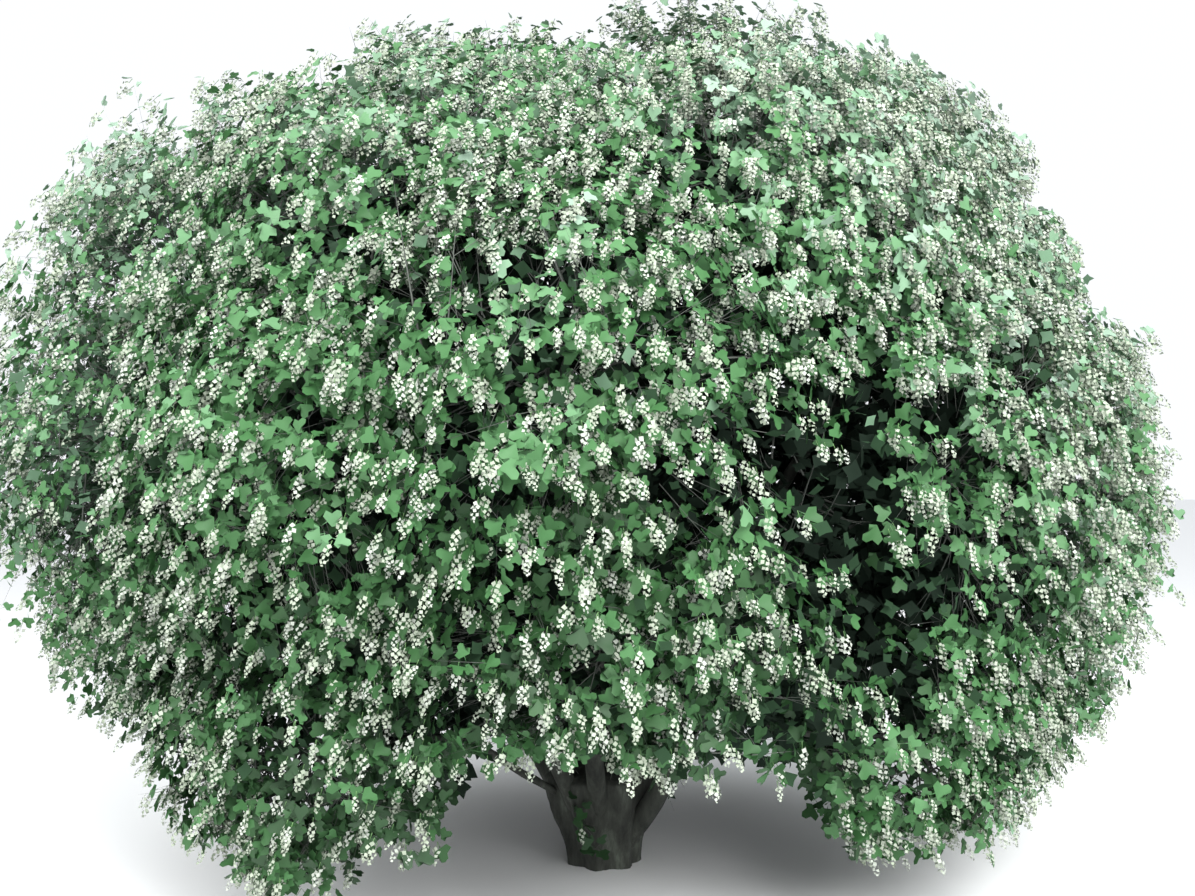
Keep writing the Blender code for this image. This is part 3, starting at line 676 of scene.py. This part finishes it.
def growMass(mass, chance):
    # bent sticks as starts, ends and radii, straight shoots with their clumps, and the limb's spray tips
    radii = growth["radii"]
    stemEnd = mass.middle + mass.entryDirection * growth["stemEnd"] * mass.reach(mass.entryDirection)
    count = int(growth["headings"] * growth["denser"].get(mass.name, 1))
    headings = evenDirections(count, chance.uniform(0, 2 * math.pi))
    reach = np.minimum(mass.reach(headings), mass.planeReach(headings))
    outside = crownDepth(mass.middle + headings * reach[:, None]) > growth["hiddenTwig"]
    headings, reach = headings[outside], reach[outside]
    twigStart = mass.tip + (stemEnd - mass.tip) * chance.uniform(*growth["twigFork"], (len(headings), 1))
    twigEnd = mass.middle + headings * (reach * chance.uniform(*growth["twigShare"], len(headings)))[:, None]
    twigEnd, clear = clearEnds(twigStart, twigEnd)
    twigStart, twigEnd = twigStart[clear], twigEnd[clear]
    branchStart, branchEnd, _ = branch(mass, twigStart, twigEnd, growth["branchlets"], chance)
    shootStart, shootEnd, clump = branch(mass, branchStart, branchEnd, growth["shoots"], chance)
    longStart, longEnd = longShootsOf(mass, chance)
    foot, tip = limbSprays(mass, chance)
    archStart, archEnd = archingBranches(mass, chance)
    clear = ~inOpening(archEnd)
    if massPlan[mass.name][0] != "top":
        longEnd, clearLong = clearEnds(longStart, longEnd)
        longStart, longEnd = longStart[clearLong], longEnd[clearLong]
    bent = [(archStart[clear], archEnd[clear], growth["archRadius"]),
            (mass.tip[None], stemEnd[None], radii["stem"]), (twigStart, twigEnd, radii["twig"]),
            (branchStart, branchEnd, radii["branchlet"]), (longStart, longEnd, radii["spray"]),
            (foot, tip, radii["spray"])]
    start, end = np.vstack((shootStart, longStart)), np.vstack((shootEnd, longEnd))
    clump = np.hstack((clump, len(branchEnd) + np.arange(len(longEnd)) // growth["longShoots"]))
    return bent, start, end, clump, tip


def limbSprays(mass, chance):
    # short shoots in any direction from the outer part of the limb that carries the mass
    path = limbs[mass.name][0]
    count = growth["limbSprays"]
    place = chance.integers(int(growth["limbFrom"] * limbPlan["steps"]), limbPlan["steps"] + 1, count)
    heading = unit(chance.normal(size=(count, 3)) + growth["limbRise"] * up)
    tip = path[place] + heading * chance.uniform(*growth["limbReach"], (count, 1))
    tip, clear = clearEnds(path[place], tip)
    return path[place][clear], tip[clear]


def addShoots(crown, start, end, clump, owner):
    # one more group of shoots, its clumps numbered on from the last group's
    first = crown["clump"][-1].max() + 1 if crown["clump"] else 0
    crown["start"].append(start)
    crown["end"].append(end)
    crown["clump"].append(clump + first)
    crown["mass"].append(owner + np.zeros(len(end), int))


def growCrown():
    # every mass in turn, then the bare branches, the shoots between masses and those on the trunk
    crown = {"bent": [], "start": [], "end": [], "clump": [], "mass": [], "inside": []}
    bareChance = draws("bare")
    for number, mass in enumerate(masses.values()):
        bent, start, end, clump, inside = growMass(mass, draws("masses", number))
        bareShare = growth["bareLow"] * (1 - rising(end[:, 2], 0, growth["bareHeight"]))
        leafy = bareChance.uniform(size=clump.max() + 1)[clump] > bareShare
        addShoots(crown, start[leafy], end[leafy], clump[leafy], number)
        crown["bent"] += bent
        crown["inside"].append(inside)
    crown["bent"] += openSticks(draws("sticks"))
    start, end, owner = gapShoots(masses, draws("gaps"))
    end, shown = clearEnds(start, end)
    addShoots(crown, start[shown], end[shown], np.arange(shown.sum()), owner[shown])
    ring, radius = growth["trunkShootRing"], trunkShape["footRadius"]
    foot = np.array([bearingDirection(bearing) * ring * radius + up * height
                     for bearing, height, _, _ in trunkShoots])
    run = np.array([bearingDirection(bearing, rise) * length for bearing, _, rise, length in trunkShoots])
    addShoots(crown, foot, foot + run, np.arange(len(foot)), list(massPlan).index("skirt_front"))
    for key in ("start", "end", "clump", "mass", "inside"):
        crown[key] = np.concatenate(crown[key])
    crown["depth"] = crownDepth(crown["end"])
    crown["depth"][-len(foot):] = growth["trunkShootDepth"]
    return crown


def stickMesh(start, end, radius, shares):
    # three-sided sticks that sag as a parabola: a ring at each share of the length, then a point
    run = end - start
    side, across = squareFrame(unit(run))
    angle = np.arange(3) * 2 * math.pi / 3
    out = around(angle, side[:, None], across[:, None])
    sag = growth["sag"] * 4 * np.linalg.norm(run, axis=1)[:, None, None] * up
    rings = [start[:, None] + run[:, None] * t - sag * t * (1 - t) + out * radius[:, None, None] * (1 - t)
             for t in shares]
    points = np.concatenate((*rings, end[:, None]), 1)
    walls = gridFaces(len(shares), 3)
    last = 3 * len(shares) - 3
    cap = np.array([(last, last + 1, last + 3), (last + 1, last + 2, last + 3), (last + 2, last, last + 3)])
    one = np.vstack((walls[:, (0, 1, 2)], walls[:, (0, 2, 3)], cap))
    faces = np.arange(len(start))[:, None, None] * points.shape[1] + one
    return points.reshape(-1, 3), faces.reshape(-1, 3)


twigLook = {"colour": (0.080, 0.088, 0.077), "roughness": 0.85}


def buildTwigs(crown):
    # bent sticks have rings along their length, and the thin shoots one ring and a point
    bent = [row for row in crown["bent"] if len(row[0])]
    start, end = np.vstack([row[0] for row in bent]), np.vstack([row[1] for row in bent])
    radius = np.hstack([np.full(len(row[0]), row[2]) for row in bent])
    points, faces = stickMesh(start, end, radius, growth["rings"])
    thin = np.full(len(crown["end"]), growth["radii"]["shoot"])
    shootPoints, shootFaces = stickMesh(crown["start"], crown["end"], thin, growth["rings"][:1])
    finish = plainFinish("grey_twig", twigLook["colour"], twigLook["roughness"])
    makePiece("twigs", np.vstack((points, shootPoints)), np.vstack((faces, shootFaces + len(points))),
              [finish])
    print("twigs ready:", len(faces) + len(shootFaces), "faces")


crown = growCrown()
buildTwigs(crown)


# Leaves: three rounded lobes on a stalk, cupped, with the tips bent down

leafLook = {
    "size": 0.037,
    "vary": 0.38,
    "shrink": 0.27,              # how much smaller they are at the top and the sides
    "stalk": 0.42,               # beside the size
    "perShoot": 5,
    "perHiddenShoot": 2,
    "hiddenDepth": 0.76,         # beside the crown's half sizes
    "spacing": 0.021,
    "backShare": 0.6,            # how far back along its shoot the last leaf can sit
    "along": 0.45,               # a stalk leaves its shoot forwards, sideways and down
    "sideways": 0.95,
    "hang": 0.25,
    "turned": 0.2,
    "flattened": 0.75,           # and the blade lies nearly square to where it faces
    "outward": 0.45,             # which is out of the crown and of its mass, and up, with some chance
    "fromMass": 0.60,
    "upward": 0.38,
    "levelled": 0.35,
    "scatter": 0.45,
    "highFrom": (1.5, 1.1),      # they shrink from this height, over this length
    "asideFrom": (0.7, 0.9),     # and from this place along X, to either side
    # the shades run from darkest to palest; dealt out by place they are painted shade deep in the crown and
    # painted light high up and to the sides, and the palest carry a bluish painted haze
    "shades": (
        (0.016, 0.044, 0.016),
        (0.021, 0.064, 0.020),
        (0.028, 0.088, 0.027),
        (0.038, 0.114, 0.037),
        (0.055, 0.148, 0.054),
        (0.086, 0.188, 0.088),
        (0.135, 0.232, 0.145),
        (0.200, 0.290, 0.218),
    ),
    "roughness": 0.55,
    "specular": 0.25,
    "groups": 5,
}

# A leaf's outline about its hub, beside its size
leafOutline = {
    "angles": (-128, -88, -54, -25, 0, 25, 54, 88, 128),
    "radii": (0.50, 0.58, 0.30, 0.54, 0.62, 0.54, 0.30, 0.58, 0.50),
    "hub": 0.30,                 # past the end of the stalk
    "droop": 0.34,
    "fold": 0.16,
    "stalkEdge": (0.03, -0.05),
}

# What a leaf's shade number is made up of: chance, and painted light and painted shade by place
leafToneAndPaintedLight = {
    "middle": 2.8,
    "clump": 0.75,
    "shoot": 0.5,
    # painted light: paler higher up
    "height": (2.7, 1.5, 1.4),   # each of these: how many shades, from where, and over what length
    # painted shade: darker deeper in the crown
    "depth": (9.0, 0.87, 1.0),
    # painted light: paler to the right, and a little at the far left
    "right": (2.8, 0.2, 1.0),
    "left": (0.5, 0.8, 0.8),
}


def lobedBlade(shape, hub):
    # a radius for each angle about the hub, sunk by its square and folded up to the sides, and a fan of faces
    angles, radius = np.radians(shape["angles"]), np.array(shape["radii"])
    along, across = radius * np.cos(angles), radius * np.sin(angles)
    sink = -shape["droop"] * radius**2 + shape["fold"] * np.abs(across)
    step = np.arange(1, len(radius) - 1)
    return np.stack((hub + along, across, sink), -1), np.stack((0 * step, step, step + 1), -1)


def leafTemplate():
    # a thin stalk, then a blade of three rounded lobes with hollows between them
    length, (half, dip) = leafLook["stalk"], leafOutline["stalkEdge"]
    stalk = np.array(((0, 0, 0), (length, -half, dip), (length, half, dip)))
    blade, faces = lobedBlade(leafOutline, length + leafOutline["hub"])
    return np.vstack((stalk, blade)), np.vstack(((0, 1, 2), faces + len(stalk)))


def makeCopies(name, template, places, finishes, shades, pick=slice(None)):
    # each copy's own axes are its direction, what is square to that and to its facing, and their normal
    shape, shapeFaces = template
    roots, directions, facings, sizes = [values[pick] for values in places]
    across = unit(np.cross(facings, directions))
    axes = np.stack((directions, across, np.cross(directions, across)), 1) * sizes[:, None, None]
    points = roots[:, None] + shape @ axes
    faces = np.arange(len(roots))[:, None, None] * len(shape) + shapeFaces
    return makePiece(name, points.reshape(-1, 3), faces.reshape(-1, 3), finishes,
                     np.repeat(shades[pick], len(shapeFaces)))


def leafPlaces(crown, chance):
    # leaves turn round their shoot by the golden angle, from its tip back, and face out and up
    look, per = leafLook, leafLook["perShoot"]
    shoot = np.repeat(np.arange(len(crown["end"])), per)
    back = np.tile(np.arange(per), len(crown["end"]))
    run = crown["end"] - crown["start"]
    length = np.linalg.norm(run, axis=1)[shoot]
    along = unit(run)[shoot]
    setBack = np.minimum(back * look["spacing"], look["backShare"] * length)
    root = crown["end"][shoot] - along * setBack[:, None]
    shown = (crown["depth"][shoot] > look["hiddenDepth"]) | (back < look["perHiddenShoot"])
    turn = chance.uniform(0, 2 * math.pi, len(crown["end"]))[shoot] + goldenAngle * back
    side, across = squareFrame(along)
    direction = unit(look["along"] * along + look["sideways"] * around(turn, side, across) - look["hang"] * up
                     + look["turned"] * chance.normal(size=root.shape))
    middles = np.array([mass.middle for mass in masses.values()])[crown["mass"]][shoot]
    facing = unit(look["outward"] * unit((root - crownMiddle) * (1, 1, look["levelled"]))
                  + look["fromMass"] * unit(root - middles) + look["upward"] * up
                  + look["scatter"] * chance.normal(size=root.shape))
    lean = np.sum(direction * facing, 1, keepdims=True)
    direction = unit(direction - look["flattened"] * lean * facing)
    size = look["size"] * (1 + look["vary"] * chance.uniform(-1, 1, len(root)))
    far = np.maximum(rising(root[:, 2], *look["highFrom"]), rising(np.abs(root[:, 0]), *look["asideFrom"]))
    size = size * (1 - look["shrink"] * far)
    return shoot[shown], root[shown], direction[shown], facing[shown], size[shown]


def leafShadesWithPaintedLight(crown, shoot, points, chance):
    # shade number: painted light makes it paler high up and far to either side, painted shade darker deep in
    # the crown, with a share of chance for each clump and each shoot
    clumpPart = chance.normal(size=crown["clump"].max() + 1)[crown["clump"]][shoot]
    shootPart = chance.normal(size=len(crown["end"]))[shoot]
    tone = leafToneAndPaintedLight["middle"] + leafToneAndPaintedLight["clump"] * clumpPart + leafToneAndPaintedLight["shoot"] * shootPart
    # painted light paler high up, painted shade darker deep in the crown
    for key, value in (("height", points[:, 2]), ("depth", crown["depth"][shoot])):
        shades, start, length = leafToneAndPaintedLight[key]
        tone += shades * (value - start) / length
    # painted light paler to the right and at the far left
    for key, value in (("right", points[:, 0]), ("left", -points[:, 0])):
        shades, start, length = leafToneAndPaintedLight[key]
        tone += shades * rising(value, start, length)
    return np.clip(np.round(tone), 0, len(leafLook["shades"]) - 1).astype(int)


def buildLeaves(crown):
    # one piece for each group of masses, with every leaf's faces in its own shade, paler by painted light or
    # darker by painted shade
    chance = draws("leaves")
    shoot, *places = leafPlaces(crown, chance)
    shades = leafShadesWithPaintedLight(crown, shoot, places[0], chance)
    finishes = shadeFinishes("leaf_green_painted_light_and_shade", leafLook["shades"], leafLook["roughness"], leafLook["specular"])
    names = list(massPlan)
    for part, group in enumerate(np.array_split(np.arange(len(names)), leafLook["groups"])):
        pick = np.isin(crown["mass"][shoot], group)
        piece = makeCopies(f"leaves_{part}", leafTemplate(), places, finishes, shades, pick)
        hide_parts(*["foliage_" + names[number] for number in group])
    print("leaves ready:", len(shoot))


buildLeaves(crown)


# Leaves in the shade inside the crown, that close it against the light behind

insideLook = {
    "perVolume": 3800,           # beside the product of a mass's half sizes
    "denser": {"flank_left": 1.7, "shoulder_left": 1.7},
    "share": (0.28, 0.84),
    "perSpray": 10,
    "sprayScatter": 0.06,
    "backing": 19000,            # spread through the crown, between these depths
    "depth": (0.50, 0.87),
    "deepest": 0.74,             # those further in than this are larger, and darkest by painted shade
    "deepSize": 0.056,
    "lowest": 0.42,
    "size": 0.040,
    "vary": 0.3,
    "hang": 0.4,
    "outward": 0.4,
    "angles": (180, -76, -38, 0, 38, 76),    # a plainer leaf, fanned out from its foot, with no stalk
    "radii": (0.34, 0.56, 0.38, 0.62, 0.38, 0.56),
    "hub": 0.4,
    "droop": 0.3,
    "fold": 0,
    # painted shade: darkest deep inside, dark elsewhere; painted light: the pale ones high up and far aside
    "deep": (0.013, 0.022, 0.015),
    "paintedShadeDark": (0.019, 0.041, 0.021),
    "paintedLightPale": (0.095, 0.165, 0.104),
    "dimHeight": 1.85,           # the paler ones, painted light, stand above about this height
    "dimFrom": 1.0,              # past this place along X they start lower
    "dimLeft": 1.0,              # and likewise at the other side
    "dimSlope": 1.4,
    "dimScatter": 0.25,
    "roughness": 0.9,
    "specular": 0.05,
}


def insidePlaces(crown, chance):
    # within each mass, about the limbs' shoots, and through the crown's ellipsoid between two depths
    places = []
    for mass in masses.values():
        times = insideLook["denser"].get(mass.name, 1)
        count = int(insideLook["perVolume"] * times * np.prod(mass.half))
        heading = unit(chance.normal(size=(count, 3)))
        reach = np.minimum(mass.reach(heading), mass.planeReach(heading))
        share = chance.uniform(*insideLook["share"], count)
        places.append(mass.middle + heading * (reach * share)[:, None])
    tips = np.repeat(crown["inside"], insideLook["perSpray"], 0)
    places.append(tips + insideLook["sprayScatter"] * chance.normal(size=tips.shape))
    heading = unit(chance.normal(size=(insideLook["backing"], 3)))
    depth = chance.uniform(*insideLook["depth"], (insideLook["backing"], 1))
    places.append(crownMiddle + heading * depth * plan["crownHalf"])
    places = np.vstack(places)
    return places[~inOpening(places) & (places[:, 2] > insideLook["lowest"])]


def buildInside(crown):
    # each faces anywhere, a little more outwards; shade 0, darkest by painted shade, is deep inside, 2, paler
    # by painted light, is high up or far aside, else 1, dark by painted shade
    look = insideLook
    chance = draws("inside")
    roots = insidePlaces(crown, chance)
    deep = crownDepth(roots) < look["deepest"]
    direction = unit(chance.normal(size=roots.shape) - look["hang"] * up)
    facing = unit(look["outward"] * unit(roots - crownMiddle) + chance.normal(size=roots.shape))
    size = np.where(deep, look["deepSize"], look["size"])
    size = size * (1 + look["vary"] * chance.uniform(-1, 1, len(roots)))
    aside = np.maximum(roots[:, 0] - look["dimFrom"], -roots[:, 0] - look["dimLeft"])
    light = roots[:, 2] + look["dimSlope"] * np.clip(aside, 0, 1)
    high = light + look["dimScatter"] * chance.normal(size=len(roots)) > look["dimHeight"]
    shade = np.where(deep, 0, np.where(high, 2, 1))
    colours = [look[key] for key in ("deep", "paintedShadeDark", "paintedLightPale")]
    finishes = shadeFinishes("leaf_inside_painted_shade_and_light", colours, look["roughness"], look["specular"])
    places = roots, direction, facing, size
    makeCopies("inner_leaves", lobedBlade(look, look["hub"]), places, finishes, shade)
    print("inner leaves ready:", len(roots))


buildInside(crown)


# Flower clusters: small flowers round a hanging stalk

bloomLook = {
    "clusters": 22800,
    "length": 0.046,
    "vary": (0.72, 1.18),
    "back": 0.020,               # clusters on one shoot are this far apart
    "lean": 0.58,                # a stalk hangs, and leans out of the crown with some chance
    "levelled": 0.4,
    "leanScatter": 0.16,
    "stalkRadius": 0.0011,
    "stalkShare": 0.9,           # of the cluster's length
    "flowers": 13,
    "firstPlace": 0.6,           # the first flower's, in steps down the cluster
    "firstDrop": 0.014,          # bare stalk above the flowers
    "corners": ((0.56, 0.06, -0.06), (-0.05, 0.53, 0.10), (-0.54, -0.08, -0.02), (0.08, -0.50, 0.08)),
    "flowerSize": 0.0112,
    "taper": (1.12, 0.45),       # the first flower's size, and how much less the last has
    "width": 0.0100,
    "widthTurn": (0.25, 0.68),   # as the sine of a half turn: its start, and how much of it is gone through
    "forward": 0.70,             # most flowers stand on the side away from the crown
    "upward": 0.2,
    "scatter": 0.3,
    "weightLow": 0.68,           # how thickly a shoot flowers: low in the crown, high up, and by chance
    "weightHigh": 0.66,
    "heights": (0.4, 2.5),
    "heightPower": 1.3,
    "rightward": 0.38,           # and how much more to the right, and at the front
    "frontward": 0.22,
    "clumpSpread": 0.38,
    "hiddenDepth": 0.77,
    "hiddenWeight": 0.03,
    "shades": ((0.29, 0.33, 0.26), (0.32, 0.36, 0.29), (0.27, 0.31, 0.24), (0.35, 0.38, 0.33)),
    "roughness": 0.65,
    "specular": 0.2,
    "stalk": (0.10, 0.20, 0.07),
    "stalkRoughness": 0.6,
    "parts": 3,
}


def clusterPlaces(crown, chance):
    # each shoot's weight grows with its height, times one factor for its clump; then it gets its share
    look, tips = bloomLook, crown["end"]
    low, high = look["heights"]
    height = rising(tips[:, 2], low, high - low)
    weight = look["weightLow"] + look["weightHigh"] * height**look["heightPower"]
    weight = weight * (1 + look["rightward"] * tips[:, 0] / 2) * (1 - look["frontward"] * tips[:, 1])
    clumpFactor = np.exp(look["clumpSpread"] * chance.normal(size=crown["clump"].max() + 1))
    weight = weight * clumpFactor[crown["clump"]]
    weight = np.where(crownDepth(tips) > look["hiddenDepth"], weight, look["hiddenWeight"])
    count = np.floor(look["clusters"] * weight / weight.sum() + chance.uniform(size=len(tips))).astype(int)
    shoot = np.repeat(np.arange(len(tips)), count)
    order = np.arange(len(shoot)) - np.repeat(np.cumsum(count) - count, count)
    along = unit(tips - crown["start"])[shoot]
    return tips[shoot] - along * (look["back"] * order)[:, None]


def buildBloom(crown):
    # flowers wind round the stalk by the golden angle, furthest out near the top, smaller to the tip;
    # each is two triangles on four corners, folded between two of them, and turned about its facing
    look, per, chance = bloomLook, bloomLook["flowers"], draws("bloom")
    roots = clusterPlaces(crown, chance)
    outward = unit((roots - crownMiddle) * (1, 1, look["levelled"]))
    drop = unit(look["lean"] * outward - up + look["leanScatter"] * chance.normal(size=roots.shape))
    scale = chance.uniform(*look["vary"], len(roots))
    side, across = squareFrame(drop)
    owner = np.repeat(np.arange(len(roots)), per)
    index = np.tile(np.arange(per), len(roots))
    share = (index + look["firstPlace"]) / per
    turn = goldenAngle * index + chance.uniform(0, 2 * math.pi, len(roots))[owner]
    ring = unit(around(turn, side[owner], across[owner]) + look["forward"] * outward[owner])
    first, through = look["widthTurn"]
    width = look["width"] * np.sin(math.pi * (first + through * share)) * scale[owner]
    along = look["firstDrop"] + look["length"] * share * scale[owner]
    centre = roots[owner] + drop[owner] * along[:, None] + ring * width[:, None]
    facing = unit(ring + look["upward"] * up + look["scatter"] * chance.normal(size=ring.shape))
    size = look["flowerSize"] * scale[owner] * (look["taper"][0] - look["taper"][1] * share)
    direction = around(chance.uniform(0, 2 * math.pi, len(facing)), *squareFrame(facing))
    finishes = shadeFinishes("petal_white", look["shades"], look["roughness"], look["specular"])
    dealt = chance.integers(0, len(finishes), len(roots))[owner]
    flower = np.array(look["corners"]), np.array(((0, 1, 2), (0, 2, 3)))
    for part, some in enumerate(np.array_split(np.arange(len(centre)), look["parts"])):
        makeCopies(f"blossom_{part}", flower, (centre, direction, facing, size), finishes, dealt, some)
    ends = roots + drop * (look["stalkShare"] * look["length"] * scale)[:, None]
    points, faces = stickMesh(roots, ends, np.full(len(roots), look["stalkRadius"]), (0,))
    stalkFinish = plainFinish("green_stalk", look["stalk"], look["stalkRoughness"])
    makePiece("flower_stalks", points, faces, [stalkFinish])
    print("blossom ready:", len(roots), "clusters")


buildBloom(crown)


# Floor, light and camera

studio = {
    "floorSize": 60.0,
    "floorColour": (0.80, 0.81, 0.81),
    "floorRoughness": 0.9,
    "floorShine": 0.1,
    "skyColour": (0.95, 0.97, 1.0),
    "skyStrength": 1.05,
    "lamps": {
        "key": {"place": (2.8, -7.0, 5.6), "size": 5.0, "power": 1500},
        "fill": {"place": (-6.0, -4.0, 5.0), "size": 6.0, "power": 600},
    },
    "aim": (0.0, 0.0, 1.4),
    "cameraPlace": (-0.02, -4.3, 1.38),
    "focalPixels": 1281.0,
    "photoWidth": 1195.0,
    "sensorWidth": 36.0,
}


def buildStudio():
    # a level floor, a pale sky, square lamps turned towards the aim, and a level camera
    half = studio["floorSize"] / 2
    corners = [(-half, -half, 0), (half, -half, 0), (half, half, 0), (-half, half, 0)]
    mesh = bpy.data.meshes.new("floor")
    mesh.from_pydata(corners, [], [(0, 1, 2, 3)])
    mesh.materials.append(plainFinish("pale_floor", studio["floorColour"], studio["floorRoughness"],
                                      studio["floorShine"]))
    floor = addObject("floor", mesh)
    world = bpy.data.worlds.new("pale_sky")
    world.use_nodes = True
    setInputs(world.node_tree.nodes["Background"], {
        "Color": (*studio["skyColour"], 1), "Strength": studio["skyStrength"]})
    bpy.context.scene.world = world
    for name, lamp in studio["lamps"].items():
        data = bpy.data.lights.new(name, "AREA")
        data.size = lamp["size"]
        data.energy = lamp["power"]
        light = addObject(name, data)
        light.location = lamp["place"]
        x, y, z = np.subtract(studio["aim"], lamp["place"])
        light.rotation_euler = (math.atan2(math.hypot(x, y), -z), 0, math.atan2(-x, y))
    camera = addObject("camera", bpy.data.cameras.new("camera"))
    camera.location = studio["cameraPlace"]
    camera.rotation_euler = (math.pi / 2, 0, 0)
    camera.data.sensor_width = studio["sensorWidth"]
    camera.data.lens = studio["focalPixels"] * studio["sensorWidth"] / studio["photoWidth"]
    bpy.context.scene.camera = camera
    bpy.context.scene.view_settings.view_transform = "Standard"


buildStudio()
print("studio ready")
